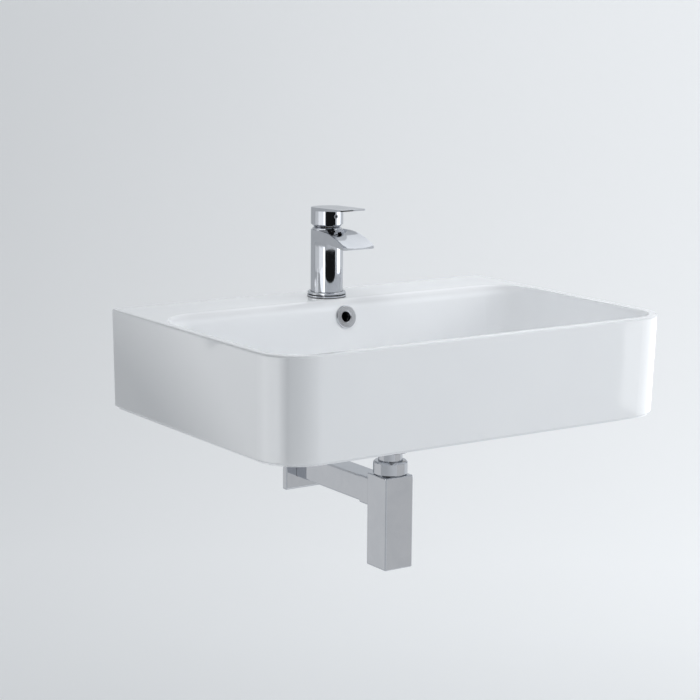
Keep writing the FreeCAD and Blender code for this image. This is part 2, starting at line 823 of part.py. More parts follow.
def tap_body():
    spout = spout_form(spout_lip_width).common(spout_plan())
    tray = spout_tray()
    barrel = cylinder(tap_r, tap_seal_t, tap_height)
    barrel = barrel.makeFillet(tap_top_edge_r, flat_edges(barrel, tap_height))
    body = barrel.fuse(spout.cut(tray.cut(cylinder(tap_r, 0, tap_height))))
    body = body.cut(cylinder(cartridge_bore_r, seat_height, tap_height))
    body = body.cut(cylinder(tap_recess_r, tap_seal_t, tap_recess_top))
    for side in (-1, 1):
        x = side * inlet_spacing / 2
        body = body.cut(cylinder(inlet_r, tap_recess_top, tap_recess_top + inlet_depth, x, -inlet_forward))
        body = body.cut(cylinder(port_r, tap_recess_top, seat_height, x, -inlet_forward))
    body = body.cut(cylinder(stud_r + thread_gap, tap_recess_top, tap_recess_top + stud_in_body, 0, stud_back))
    flute_y = -cartridge_bore_r - flute_depth
    tray_floor = tap_height - tray_depth
    flute = box(-flute_width / 2, flute_width / 2, flute_y, 0, seat_height, tray_floor + tray_slot_height)
    slot = tray.common(box(-tray_slot_width / 2, tray_slot_width / 2, -tap_r, 0,
                           tray_floor, tray_floor + tray_slot_height))
    return on_tap(body.cut(flute).cut(slot).removeSplitter())


def tap_base_ring():
    inner = tap_r + slip
    step = base_ring_height / 2
    half = base_ring_groove_half
    flare = half + base_ring_groove_slope
    lip = base_ring_r - base_ring_groove
    upper_r = base_ring_r - base_ring_setback
    return on_tap(revolve([
        (inner, 0), (base_ring_r, 0), (base_ring_r, step - flare), (lip, step - half), (lip, step + half),
        (upper_r, step + flare), (upper_r, base_ring_height - base_ring_edge),
        (upper_r - base_ring_edge, base_ring_height), (inner, base_ring_height)]))


def tap_base_seal():
    return on_tap(tube(tap_r - slip, tap_r - slip - tap_seal_width, 0, tap_seal_t))


# Ceramic disc cartridge

def port_places():
    """Hot inlet, cold inlet and outlet, in plan."""
    return [(-inlet_spacing / 2, -inlet_forward), (inlet_spacing / 2, -inlet_forward),
            (0, -inlet_spacing / 2 - inlet_forward)]


def cavity_r():
    return cartridge_r - cartridge_wall


def disc_shift():
    """How far behind the axis the closed lever's tip holds the moving disc."""
    return (pivot_height - stem_tip_z) * math.sin(math.radians(stem_lean))


def cartridge_housing():
    shell = cylinder(cartridge_r, seat_height, cartridge_top)
    shell = shell.cut(cylinder(cavity_r(), seat_height, cartridge_top - cartridge_top_t))
    shell = shell.cut(cylinder(turret_neck_r + slip, seat_height, cartridge_top))
    window = box(-flute_width / 2, flute_width / 2, -cartridge_bore_r, 0, seat_height, fixed_disc_z)
    return on_tap(shell.cut(window))


def cartridge_base():
    plate = cylinder(cavity_r() - slip, seat_height, fixed_disc_z)
    for x, y in port_places():
        plate = plate.cut(cylinder(port_r, seat_height, fixed_disc_z, x, y))
    for x, y in port_places()[:2]:
        plate = plate.cut(cylinder(port_r + port_seal_wall + running, seat_height, seat_height + port_seal_t, x, y))
    x, y = port_places()[2]
    return on_tap(plate.cut(box(-port_r, port_r, -cavity_r(), y, seat_height, seat_height + port_seal_t)))


def port_seals():
    rings = [tube(port_r + port_seal_wall, port_r, seat_height, seat_height + port_seal_t, x, y)
             for x, y in port_places()[:2]]
    return on_tap(Part.makeCompound(rings))


def fixed_disc():
    z = fixed_disc_z
    disc = cylinder(cavity_r() - slip, z, z + fixed_disc_t)
    for x, y in port_places():
        disc = disc.cut(cylinder(port_r, z, z + fixed_disc_t, x, y))
    return on_tap(disc)


def moving_disc():
    z = moving_disc_z
    disc = cylinder(moving_disc_r, z, z + moving_disc_t, 0, disc_shift())
    chamber = cylinder(moving_disc_r * 0.55, z, z + moving_disc_t / 2, 0, disc_shift() - moving_disc_r * 0.3)
    return on_tap(disc.cut(chamber))


def disc_carrier():
    z = carrier_z
    disc = cylinder(moving_disc_r, z, z + carrier_t, 0, disc_shift())
    pocket = cylinder(stem_tip_r + slip, pocket_z, z + carrier_t, 0, disc_shift())
    return on_tap(disc.cut(pocket))


def cartridge_turret():
    drum = cylinder(cavity_r() - slip, turret_z, drum_top_z)
    drum = drum.fuse(cylinder(turret_neck_r, turret_z, cartridge_top + turret_neck_above))
    swing = math.radians(stem_lean)
    above = cartridge_top + turret_neck_above - pivot_height
    slot_y = above * math.tan(swing) + stem_width / 2 / math.cos(swing) + slip
    slot_x = stem_width / 2 + slip
    drum = drum.cut(box(-slot_x, slot_x, -slot_y, slot_y, turret_z, cartridge_top + turret_neck_above))
    return on_tap(drum.cut(pin_shape(pivot_pin_r + film)))


def pin_shape(r):
    rod = Part.makeCylinder(r, pivot_pin_length, V(-pivot_pin_length / 2, 0, pivot_height), V(1, 0, 0))
    return rod


def stem_pin():
    return on_tap(pin_shape(pivot_pin_r))


def cartridge_stem():
    half = stem_width / 2
    stem = box(-half, half, -half, half, pivot_height - half, stem_top_z)
    stem = stem.fuse(cylinder(stem_neck_r, stem_tip_z, pivot_height))
    stem = stem.fuse(Part.makeSphere(stem_tip_r, V(0, 0, stem_tip_z)))
    return on_tap(leaning(stem.cut(pin_shape(pivot_pin_r + running))))


def cartridge_nut():
    top = tap_height - cover_skirt_depth - slip
    nut = cylinder(cartridge_bore_r - thread_gap, cartridge_top, top)
    return on_tap(nut.cut(hex_bar(cartridge_nut_flats, cartridge_top, top)))


def cartridge_cover():
    skirt_r = cartridge_bore_r - slip
    skirt_in = skirt_r - cover_skirt_t
    foot = tap_height - cover_skirt_depth
    top = tap_height + cover_height
    return on_tap(revolve([
        (skirt_in, foot), (skirt_r, foot), (skirt_r, tap_height), (cover_r, tap_height),
        (cover_r, tap_height + cover_edge), (cover_r - cover_shoulder, top - cover_crown),
        (cover_opening_r + cover_lip, top), (cover_opening_r, top - cover_lip_edge),
        (cover_opening_r, top - cover_t), (skirt_in, top - cover_t)]))


# Lever handle

def lever_top(forward):
    return lever_top_height + forward * math.tan(math.radians(lever_slope))


def lever_under(forward):
    """Height of the lever's underside, from its root over the axis to its tip."""
    share = forward / lever_reach
    return lever_top(forward) - lever_root_t + (lever_root_t - lever_tip_t) * share


def lever_outline():
    """The handle seen from above: round over the hub, drawn in to a rounded tip."""
    corner_x = lever_tip_width / 2 - lever_tip_corner_r
    corner_y = -lever_reach + lever_tip_corner_r
    span = math.hypot(corner_x, corner_y)
    lean = math.atan2(corner_y, corner_x) + math.acos((tap_r - lever_tip_corner_r) / span)
    nx = math.cos(lean)
    ny = math.sin(lean)
    hub_right = V(tap_r * nx, tap_r * ny, hub_bottom)
    tip_right = V(corner_x + lever_tip_corner_r * nx, corner_y + lever_tip_corner_r * ny, hub_bottom)
    front_right = V(corner_x, -lever_reach, hub_bottom)
    round_turn = (lean - math.pi / 2) / 2
    middle = V(corner_x + lever_tip_corner_r * math.cos(round_turn),
               corner_y + lever_tip_corner_r * math.sin(round_turn), hub_bottom)

    def left(p):
        return V(-p.x, p.y, p.z)

    edges = [Part.Arc(hub_right, V(0, tap_r, hub_bottom), left(hub_right)).toShape(),
             Part.LineSegment(left(hub_right), left(tip_right)).toShape(),
             Part.Arc(left(tip_right), left(middle), left(front_right)).toShape(),
             Part.LineSegment(left(front_right), front_right).toShape(),
             Part.Arc(front_right, middle, tip_right).toShape(),
             Part.LineSegment(tip_right, hub_right).toShape()]
    return Part.Wire(edges)


def lever_handle():
    ahead = lever_reach + lever_edge_r
    behind = -tap_r - lever_edge_r
    plate = Part.Face(lever_outline()).extrude(V(0, 0, 2 * lever_root_t + lever_top(ahead) - hub_bottom))
    blade = slab([(-behind, lever_under(behind)), (-ahead, lever_under(ahead)),
                  (-ahead, lever_top(ahead)), (-behind, lever_top(behind))], tap_r + lever_edge_r)
    plate = plate.common(blade)
    hub_top = (lever_top(-tap_r) + max(lever_under(tap_r), lever_under(-tap_r))) / 2
    foot_r = tap_r - hub_chamfer
    hub = revolve([(0, hub_bottom), (foot_r, hub_bottom), (tap_r, hub_bottom + hub_chamfer),
                   (tap_r, hub_top), (0, hub_top)])
    cavity_top = lever_under(-tap_r) - slip
    hollow = cylinder(tap_r - hub_wall, hub_bottom, cavity_top)
    boss = leaning(cylinder(socket_boss_r, hub_bottom + socket_boss_gap, lever_top_height))
    hollow = hollow.cut(boss)
    handle = plate.fuse(hub).cut(hollow).removeSplitter()
    top_edges = [e for e in handle.Edges if is_top_edge(e)]
    handle = handle.makeFillet(lever_edge_r, top_edges)
    half = stem_width / 2 + running
    socket = leaning(box(-half, half, -half, half, pivot_height, stem_top_z + slip))
    handle = handle.cut(socket)
    handle = handle.cut(forward_bar(grub_r + thread_gap, 0, tap_r))
    return on_tap(handle.cut(forward_bar(indicator_r + running, tap_r - indicator_depth, tap_r + indicator_r)))


def is_top_edge(edge):
    """Does an edge lie along the outline of the lever's sloping top?"""
    return all(abs(v.Z - lever_top(-v.Y)) < touch for v in edge.Vertexes)


def forward_bar(r, near, far):
    """A round bar that points forward at the grub screw's height."""
    return Part.makeCylinder(r, far - near, V(0, -near, grub_height), V(0, -1, 0))


def grub_screw():
    lean = math.radians(stem_lean)
    face = (grub_height - pivot_height) * math.tan(lean) + stem_width / 2 / math.cos(lean)
    tip = face + grub_r * math.tan(lean) + running
    key = forward_bar(grub_r * 0.5, tip + grub_length / 2, tip + grub_length)
    return on_tap(forward_bar(grub_r, tip, tip + grub_length).cut(key))


def indicator_cap():
    start = tap_r - indicator_depth
    end = tap_r + indicator_proud
    cap = forward_bar(indicator_r, start, end)
    rim = [e for e in cap.Edges if abs(e.BoundBox.YMin + end) < touch and abs(e.BoundBox.YMax + end) < touch]
    return on_tap(cap.makeFillet(indicator_proud, rim))


# Tap fixings under the deck

def clamp_z():
    return -deck_thickness


def tap_stud():
    top = tap_recess_top + stud_in_body
    return on_tap(cylinder(stud_r, top - stud_length, top, 0, stud_back))


def horseshoe(z0, z1):
    """A washer that is open at the front so that it passes round the supply hoses."""
    plate = cylinder(washer_r, z0, z1)
    half = washer_gap / 2
    plate = plate.cut(box(-half, half, -washer_r, inlet_r - inlet_forward + slip, z0, z1))
    return on_tap(plate.cut(cylinder(stud_r + slip, z0, z1, 0, stud_back)))


def tap_rubber_washer():
    return horseshoe(clamp_z() - rubber_washer_t, clamp_z())


def tap_clamp_washer():
    top = clamp_z() - rubber_washer_t
    return horseshoe(top - clamp_washer_t, top)


def tap_stud_nut():
    top = clamp_z() - rubber_washer_t - clamp_washer_t
    nut = hex_nut(stud_nut_flats, top - stud_nut_height, top, stud_r + thread_gap)
    return on_tap(nut.translated(V(0, stud_back, 0)))


pieces = [
    basin_body, overflow_ring,
    waste_body, waste_seal, waste_plug, plug_seal, plug_stem, click_barrel, click_spring,
    waste_washer, waste_backnut,
    trap_coupling_nut, trap_inlet_washer, trap_inlet_tube, trap_top_nut, trap_top_seal, trap_body,
    trap_cleanout_plug, trap_cleanout_ring, trap_outlet_ring, trap_outlet_pipe, trap_outlet_cover, wall_flange,
    tap_body, tap_base_ring, tap_base_seal,
    cartridge_housing, cartridge_base, port_seals, fixed_disc, moving_disc, disc_carrier,
    cartridge_turret, stem_pin, cartridge_stem, cartridge_nut, cartridge_cover,
    lever_handle, grub_screw, indicator_cap,
    tap_stud, tap_rubber_washer, tap_clamp_washer, tap_stud_nut,
]

os.makedirs("parts", exist_ok=True)
for make in pieces:
    shape = make()
    solids = shape.Solids
    print(make.__name__, len(solids), shape.isValid(), round(shape.Volume, 1))
    shape.exportStep("parts/" + make.__name__ + ".step")
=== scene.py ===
import json
import math

import bpy
from mathutils import Matrix, Vector


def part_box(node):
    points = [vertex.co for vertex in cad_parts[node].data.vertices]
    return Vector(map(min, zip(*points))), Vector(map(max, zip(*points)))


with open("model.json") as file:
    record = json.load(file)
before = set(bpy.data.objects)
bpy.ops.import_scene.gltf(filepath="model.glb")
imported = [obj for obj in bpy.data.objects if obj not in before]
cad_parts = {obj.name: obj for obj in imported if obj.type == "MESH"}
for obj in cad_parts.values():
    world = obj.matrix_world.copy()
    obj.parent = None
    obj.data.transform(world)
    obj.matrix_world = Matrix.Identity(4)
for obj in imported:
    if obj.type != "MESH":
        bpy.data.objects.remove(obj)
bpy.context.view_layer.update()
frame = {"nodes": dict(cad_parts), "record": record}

# Looks of the countertop basin: finishes, studio and camera.
# Metres, in the part's frame: +Z up, the front faces -Y, the counter is at z = 0.

nodes = frame["nodes"]
scene = bpy.context.scene

# Places on the part. A fade is a pair: where it starts and where it ends.
tap_axis = (0.0, 0.155)  # X and Y
# Bands of painted shade on the tap's base ring: where it meets the deck and at its step.
base_ring_shaded_joints = ((0.1320, 0.1329), (0.1352, 0.1364))  # lowest and highest Z of each
joint_soft = 0.0002
# The indicator button, with a ring of painted highlight round its face:
button_centre = (0.0, 0.2426)  # X and Z of the indicator in the hub
button_r = 0.003
button_highlight_width = 0.001
button_soft = 0.0002
clay_height = (0.0006, 0.0012)  # fade in Z from the foot's ground face to the glaze
clay_facing = (-0.95, -0.7)  # fade in the normal's Z
# The rim's rounded edges, darkened with painted shade to dim their highlight:
rim_height = (0.122, 0.127)  # fade in Z
rim_facing = ((0.3, 0.6), (0.9, 0.99))  # fades in the normal's Z over a rounded edge
# The overflow duct's passage, which gets near-black painted shade:
back_wall_lean = 0.2309  # Y per Z of the bowl's back wall
duct_depth = ((0.0855, 0.0885), (0.1005, 0.1025))  # fades in Y, taken down the lean to z = 0
duct_height = ((0.0115, 0.0125), (0.1225, 0.1235))  # fades in Z
duct_half_width = (0.0125, 0.013)  # fade in X, to both sides


# Shader helpers

def new_material(name, roughness, metallic=0.0, ior=1.5):
    """A material with one principled shader; returns the material, its tree and the shader."""
    material = bpy.data.materials.new(name)
    material.use_nodes = True
    tree = material.node_tree
    shader = next(n for n in tree.nodes if n.type == "BSDF_PRINCIPLED")
    shader.inputs["Roughness"].default_value = roughness
    shader.inputs["Metallic"].default_value = metallic
    shader.inputs["IOR"].default_value = ior
    return material, tree, shader


def link(tree, source, target):
    tree.links.new(source, target)


def place(tree, stretch=(1, 1, 1)):
    """Object coordinates in metres, stretched along the axes."""
    coordinates = tree.nodes.new("ShaderNodeTexCoord")
    mapping = tree.nodes.new("ShaderNodeMapping")
    mapping.inputs["Scale"].default_value = stretch
    link(tree, coordinates.outputs["Object"], mapping.inputs["Vector"])
    return mapping.outputs["Vector"]


def axes(tree, vector):
    """The X, Y and Z of a vector."""
    split = tree.nodes.new("ShaderNodeSeparateXYZ")
    link(tree, vector, split.inputs["Vector"])
    return split.outputs["X"], split.outputs["Y"], split.outputs["Z"]


def noise(tree, size, detail=2.0, stretch=(1, 1, 1), distortion=0.0):
    """Noise whose features are about size metres across."""
    texture = tree.nodes.new("ShaderNodeTexNoise")
    texture.inputs["Scale"].default_value = 1 / size
    texture.inputs["Detail"].default_value = detail
    texture.inputs["Distortion"].default_value = distortion
    link(tree, place(tree, stretch), texture.inputs["Vector"])
    return texture.outputs["Fac"]


def ramp(tree, source, dark, light, start=0.3, end=0.7):
    """Map a value from start..end to the colours dark..light."""
    node = tree.nodes.new("ShaderNodeValToRGB")
    for element, position, colour in zip(node.color_ramp.elements, (start, end), (dark, light)):
        element.position = position
        element.color = (*colour, 1)
    link(tree, source, node.inputs["Fac"])
    return node.outputs["Color"]


def spread(tree, source, low, high, start=0.3, end=0.7):
    """Map a value from start..end to low..high."""
    node = tree.nodes.new("ShaderNodeMapRange")
    for name, value in (("From Min", start), ("From Max", end), ("To Min", low), ("To Max", high)):
        node.inputs[name].default_value = value
    link(tree, source, node.inputs["Value"])
    return node.outputs["Result"]


def math_node(tree, operation, a, b=0.0):
    """One operation on one or two values, each a socket or a number."""
    node = tree.nodes.new("ShaderNodeMath")
    node.operation = operation
    for socket, value in zip(node.inputs, (a, b)):
        if isinstance(value, (int, float)):
            socket.default_value = value
        else:
            link(tree, value, socket)
    return node.outputs["Value"]


def product(tree, value, *others):
    """All the values, sockets or numbers, multiplied."""
    for other in others:
        value = math_node(tree, "MULTIPLY", value, other)
    return value


def rise(tree, source, fade):
    """Zero before a fade and one after it."""
    return spread(tree, source, 0.0, 1.0, *fade)


def fall(tree, source, fade):
    """One before a fade and zero after it."""
    return spread(tree, source, 1.0, 0.0, *fade)


def between(tree, source, fades):
    """One between two fades and zero outside them."""
    return product(tree, rise(tree, source, fades[0]), fall(tree, source, fades[1]))


def mix(tree, factor, a, b):
    """Mix two colours, each a socket or a fixed colour."""
    node = tree.nodes.new("ShaderNodeMix")
    node.data_type = "RGBA"
    link(tree, factor, node.inputs["Factor"])
    sockets = [s for s in node.inputs if s.type == "RGBA"]
    for socket, value in zip(sockets, (a, b)):
        if isinstance(value, tuple):
            socket.default_value = (*value, 1)
        else:
            link(tree, value, socket)
    return next(s for s in node.outputs if s.type == "RGBA")


def bump(tree, shader, height, depth):
    """Bump of a real depth in metres."""
    node = tree.nodes.new("ShaderNodeBump")
    node.inputs["Strength"].default_value = 1.0
    node.inputs["Distance"].default_value = depth
    link(tree, height, node.inputs["Height"])
    link(tree, node.outputs["Normal"], shader.inputs["Normal"])


def wear(tree, shader, source, dark, light, low, high, start=0.3, end=0.7):
    """Let one texture steer the colour from dark to light and the roughness from low to high."""
    link(tree, ramp(tree, source, dark, light, start, end), shader.inputs["Base Color"])
    link(tree, spread(tree, source, low, high), shader.inputs["Roughness"])


# Finishes

def glazed_ceramic():
    """White glaze with a bare clay foot, painted shade on the rim's rounded edges and near-black
    painted shade in the overflow duct.
    """
    rim_painted_shade = (0.77, 0.78, 0.795)
    duct_painted_shade = (0.012, 0.011, 0.01)
    clay_roughness = 0.7
    material, tree, shader = new_material("glazed_ceramic", roughness=0.06, ior=1.52)
    x, y, z = axes(tree, place(tree))
    geometry = tree.nodes.new("ShaderNodeNewGeometry")
    facing = axes(tree, geometry.outputs["True Normal"])[2]
    smooth_facing = axes(tree, geometry.outputs["Normal"])[2]
    clay = product(tree, fall(tree, facing, clay_facing), fall(tree, z, clay_height))
    # Painted shade on the rim's rounded edges, to dim their highlight.
    edge = product(tree, between(tree, smooth_facing, rim_facing), rise(tree, z, rim_height))
    depth = math_node(tree, "SUBTRACT", y, product(tree, z, back_wall_lean))
    duct = product(tree, between(tree, depth, duct_depth), between(tree, z, duct_height),
                   fall(tree, math_node(tree, "ABSOLUTE", x), duct_half_width))
    cloud = noise(tree, size=0.11, detail=3)
    glaze_tone = ramp(tree, cloud, (0.875, 0.888, 0.905), (0.89, 0.902, 0.917))
    glaze = mix(tree, edge, glaze_tone, rim_painted_shade)
    grit = ramp(tree, noise(tree, size=0.0012, detail=4),
                (0.52, 0.47, 0.40), (0.66, 0.61, 0.54), start=0.35, end=0.65)
    coat = mix(tree, clay, glaze, grit)
    # Painted shade: near black in the overflow duct, where the glaze would otherwise show lit.
    link(tree, mix(tree, duct, coat, duct_painted_shade), shader.inputs["Base Color"])
    film = spread(tree, noise(tree, size=0.03, detail=4), low=0.035, high=0.075)
    rough = math_node(tree, "ADD", film, product(tree, clay, clay_roughness))
    link(tree, rough, shader.inputs["Roughness"])
    bump(tree, shader, noise(tree, size=0.014, detail=1), depth=0.00002)
    return material


def chrome(name, joints=()):
    """Polished chrome with faint wiping marks and water film, with near-black painted shade in
    joints of given heights.
    """
    joint_painted_shade = (0.03, 0.03, 0.032)
    material, tree, shader = new_material(name, roughness=0.05, metallic=1.0)
    film = noise(tree, size=0.03, detail=3, distortion=0.6)
    tint = ramp(tree, film, (0.565, 0.58, 0.61), (0.60, 0.612, 0.64))
    # Painted shade: near black in each band, standing in for shade and dark reflection.
    for low, high in joints:
        height = axes(tree, place(tree))[2]
        joint_shade_mask = between(tree, height, ((low - joint_soft, low), (high, high + joint_soft)))
        tint = mix(tree, joint_shade_mask, tint, joint_painted_shade)
    link(tree, tint, shader.inputs["Base Color"])
    shader.inputs["Specular Tint"].default_value = (0.78, 0.79, 0.8, 1)
    wipe = noise(tree, size=0.0035, detail=4, stretch=(1, 1, 0.12))
    smear = spread(tree, film, low=0.015, high=0.05)
    scratches = spread(tree, wipe, low=0.0, high=0.03)
    link(tree, math_node(tree, "ADD", smear, scratches), shader.inputs["Roughness"])
    bump(tree, shader, noise(tree, size=0.006, detail=1), depth=0.0000015)
    return material


def brushed_chrome(centre):
    """Satin chrome with fine marks in circles round a centre."""
    mark_width = 0.0009
    material, tree, shader = new_material("brushed_chrome", roughness=0.27, metallic=1.0)
    away = tree.nodes.new("ShaderNodeVectorMath")
    away.operation = "DISTANCE"
    away.inputs[1].default_value = centre
    link(tree, place(tree), away.inputs[0])
    marks = tree.nodes.new("ShaderNodeTexNoise")
    marks.noise_dimensions = "1D"
    marks.inputs["Scale"].default_value = 1 / mark_width
    link(tree, away.outputs["Value"], marks.inputs["W"])
    wear(tree, shader, marks.outputs["Fac"], (0.61, 0.62, 0.65), (0.73, 0.74, 0.76),
         low=0.2, high=0.34)
    bump(tree, shader, marks.outputs["Fac"], depth=0.000004)
    return material


def turned_metal(name, dark, light, low, high):
    """Bare turned metal with rings of the tool and a dull film."""
    material, tree, shader = new_material(name, roughness=0.3, metallic=1.0)
    wear(tree, shader, noise(tree, size=0.006, detail=4), dark, light, low, high)
    bump(tree, shader, noise(tree, size=0.0006, stretch=(0.05, 0.05, 1)), depth=0.00001)
    return material


def rubber():
    """Black rubber with bloom and a fine moulded grain."""
    material, tree, shader = new_material("black_rubber", roughness=0.6)
    bloom = noise(tree, size=0.008, detail=4)
    wear(tree, shader, bloom, (0.012, 0.012, 0.013), (0.04, 0.04, 0.042),
         low=0.5, high=0.75, start=0.35, end=0.75)
    bump(tree, shader, noise(tree, size=0.0007, detail=3), depth=0.00003)
    return material


def moulded_plastic(name, dark, light, low, high):
    """Moulded plastic with a fine mould texture."""
    material, tree, shader = new_material(name, roughness=0.4)
    wear(tree, shader, noise(tree, size=0.02, detail=3, distortion=1.0), dark, light, low, high)
    bump(tree, shader, noise(tree, size=0.0005), depth=0.000008)
    return material


def lapped_ceramic():
    """Alumina with the satin of a lapped face and fine specks."""
    material, tree, shader = new_material("disc_ceramic", roughness=0.2, ior=1.7)
    speck = noise(tree, size=0.0008, detail=3)
    wear(tree, shader, speck, (0.74, 0.71, 0.66), (0.82, 0.8, 0.76),
         low=0.12, high=0.28, end=0.6)
    bump(tree, shader, speck, depth=0.000004)
    return material


def button_with_painted_highlight():
    """Glossy black button with a pale ring round its face, a painted highlight of its rounded rim.
    """
    rim_painted_highlight = (0.5, 0.51, 0.53)
    material, tree, shader = new_material("indicator", roughness=0.12)
    x, _, z = axes(tree, place(tree))
    across = math_node(tree, "SUBTRACT", x, button_centre[0])
    above = math_node(tree, "SUBTRACT", z, button_centre[1])
    square = math_node(tree, "ADD", product(tree, across, across), product(tree, above, above))
    ring_r = button_r - button_highlight_width
    ring = rise(tree, math_node(tree, "SQRT", square), (ring_r - button_soft, ring_r))
    flow = noise(tree, size=0.004, detail=3)
    black = ramp(tree, flow, (0.015, 0.015, 0.017), (0.03, 0.03, 0.034))
    # Painted highlight: a pale ring round the button's face.
    link(tree, mix(tree, ring, black, rim_painted_highlight), shader.inputs["Base Color"])
    link(tree, spread(tree, flow, low=0.08, high=0.16), shader.inputs["Roughness"])
    return material


finishes = {
    "glazed_ceramic": glazed_ceramic(),
    "chrome": chrome("chrome"),
    "brass": turned_metal("brass", (0.50, 0.34, 0.13), (0.66, 0.48, 0.21), low=0.22, high=0.38),
    "steel": turned_metal("steel", (0.42, 0.42, 0.42), (0.56, 0.56, 0.55), low=0.25, high=0.42),
    "black_rubber": rubber(),
    "cartridge_plastic": moulded_plastic("cartridge_plastic", (0.55, 0.55, 0.53),
                                         (0.63, 0.63, 0.61), low=0.32, high=0.45),
    "disc_ceramic": lapped_ceramic(),
    "indicator": button_with_painted_highlight(),
}
ring_low, ring_high = (Vector(corner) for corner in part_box("overflow_ring"))
own_finishes = {
    "tap_base_ring": chrome("chrome_joint_shade", base_ring_shaded_joints),
    "overflow_ring": brushed_chrome((ring_low + ring_high) / 2),
}
for subpart in frame["record"]["subparts"]:
    name = subpart["node"]
    slots = nodes[name].data.materials
    slots.clear()
    slots.append(own_finishes.get(name, finishes[subpart["material_slot"]]))


# Studio helpers. Turns are degrees from the front, towards the right.

view_yaw = math.radians(34.037)
lamp_white = (0.97, 0.985, 1.0)
sky_white = (0.95, 0.975, 1.0)
floor_z = -0.85
sweep_front = 60.0
sweep_height = 6.0
sweep_half = 60.0
sweep_back = 1.6
sweep_r = 1.4
curve_steps = 32
tap_light_r = 0.25
tap_pieces = bpy.data.collections.new("tap_pieces")
for name in ("tap_base_ring", "tap_body", "cartridge_cover", "lever_handle", "indicator_cap"):
    tap_pieces.objects.link(nodes[name])


def one_sided(tree, shader):
    """Show a shader on the front of a card or floor only; from behind it is clear."""
    geometry = tree.nodes.new("ShaderNodeNewGeometry")
    clear = tree.nodes.new("ShaderNodeBsdfTransparent")
    choice = tree.nodes.new("ShaderNodeMixShader")
    output = next(n for n in tree.nodes if n.type == "OUTPUT_MATERIAL")
    link(tree, geometry.outputs["Backfacing"], choice.inputs[0])
    link(tree, shader, choice.inputs[1])
    link(tree, clear.outputs["BSDF"], choice.inputs[2])
    link(tree, choice.outputs["Shader"], output.inputs["Surface"])


def glow_material(name, strength):
    """A lit face."""
    material = bpy.data.materials.new(name)
    material.use_nodes = True
    tree = material.node_tree
    glow = tree.nodes.new("ShaderNodeEmission")
    glow.inputs["Color"].default_value = (*lamp_white, 1)
    glow.inputs["Strength"].default_value = strength
    one_sided(tree, glow.outputs["Emission"])
    return material


def fading_glow(name, strength, back_fades, front_fade, slant):
    """A lit face that dims along Y from strength to none, by the least of its fades.

    Each fade lies nearer to the front by slant times the drop below z = 0.
    """
    material = glow_material(name, strength)
    tree = material.node_tree
    _, y, z = axes(tree, place(tree))
    along = math_node(tree, "SUBTRACT", y, product(tree, z, slant))
    level = spread(tree, along, 0.0, strength, *front_fade)
    for fade in back_fades:
        level = math_node(tree, "MINIMUM", level, spread(tree, along, strength, 0.0, *fade))
    glow = next(n for n in tree.nodes if n.type == "EMISSION")
    link(tree, level, glow.inputs["Strength"])
    return material


def stage_mesh(name, vertices, faces, material):
    """A mesh that belongs to the studio and not to the part."""
    mesh = bpy.data.meshes.new(name)
    mesh.from_pydata(vertices, [], faces)
    mesh.materials.append(material)
    holder = bpy.data.objects.new(name, mesh)
    scene.collection.objects.link(holder)
    return holder


def strip_faces(columns):
    """Faces between neighbouring pairs of vertices."""
    return [(2 * i, 2 * i + 1, 2 * i + 3, 2 * i + 2) for i in range(columns)]


def sweep():
    """A pale floor that curves up behind the part, square to the photo's view.

    It is lit a little from within: more to the right, and in full only behind the part.
    """
    left_level, right_level = 0.25, 0.52
    level_half_width = 1.3
    near_share = 0.6
    share_fade = (1.0, 2.0)
    material, tree, shader = new_material("floor", roughness=0.9)
    shader.inputs["Specular IOR Level"].default_value = 0.1
    shader.inputs["Emission Color"].default_value = (*sky_white, 1)
    pale = ramp(tree, noise(tree, size=0.6), (0.61, 0.62, 0.63), (0.62, 0.63, 0.64))
    link(tree, pale, shader.inputs["Base Color"])
    x, y, _ = axes(tree, place(tree))
    across = spread(tree, x, left_level, right_level, -level_half_width, level_half_width)
    away = spread(tree, y, near_share, 1.0, *share_fade)
    link(tree, product(tree, across, away), shader.inputs["Emission Strength"])
    one_sided(tree, shader.outputs["BSDF"])
    profile = [(-sweep_front, floor_z)]
    for i in range(curve_steps + 1):
        turn = math.pi / 2 * i / curve_steps
        profile.append((sweep_back + sweep_r * math.sin(turn),
                        floor_z + sweep_r * (1 - math.cos(turn))))
    profile.append((sweep_back + sweep_r, floor_z + sweep_height))
    vertices = [(side * sweep_half, y, z) for y, z in profile for side in (-1, 1)]
    faces = strip_faces(len(profile) - 1)
    holder = stage_mesh("floor", vertices, faces, material)
    holder.data.polygons.foreach_set("use_smooth", [True] * len(faces))
    holder.rotation_euler = (0, 0, -view_yaw)


def card(name, material, centre, radius, turns, heights, corner=(0.02, 0.02, 0.02)):
    """A curved card round an upright axis that shows in polished surfaces and nowhere else.

    Its corners are rounded by the lengths in corner: across, below and above.
    """
    middle = math.radians(turns[0] + turns[1]) / 2
    half = math.radians(turns[1] - turns[0]) / 2 * radius
    vertices = []
    for i in range(curve_steps + 1):
        across = -half + 2 * half * i / curve_steps
        inside = max(0.0, abs(across) - (half - corner[0])) / corner[0]
        rounding = 1 - math.sqrt(max(0.0, 1 - inside * inside))
        angle = middle + across / radius
        x = centre[0] + radius * math.sin(angle)
        y = centre[1] - radius * math.cos(angle)
        vertices += [(x, y, heights[0] + corner[1] * rounding),
                     (x, y, heights[1] - corner[2] * rounding)]
    holder = stage_mesh(name, vertices, strip_faces(curve_steps), material)
    holder.visible_camera = False
    holder.visible_diffuse = False
    holder.visible_shadow = False
    holder.visible_transmission = False
    holder.visible_volume_scatter = False


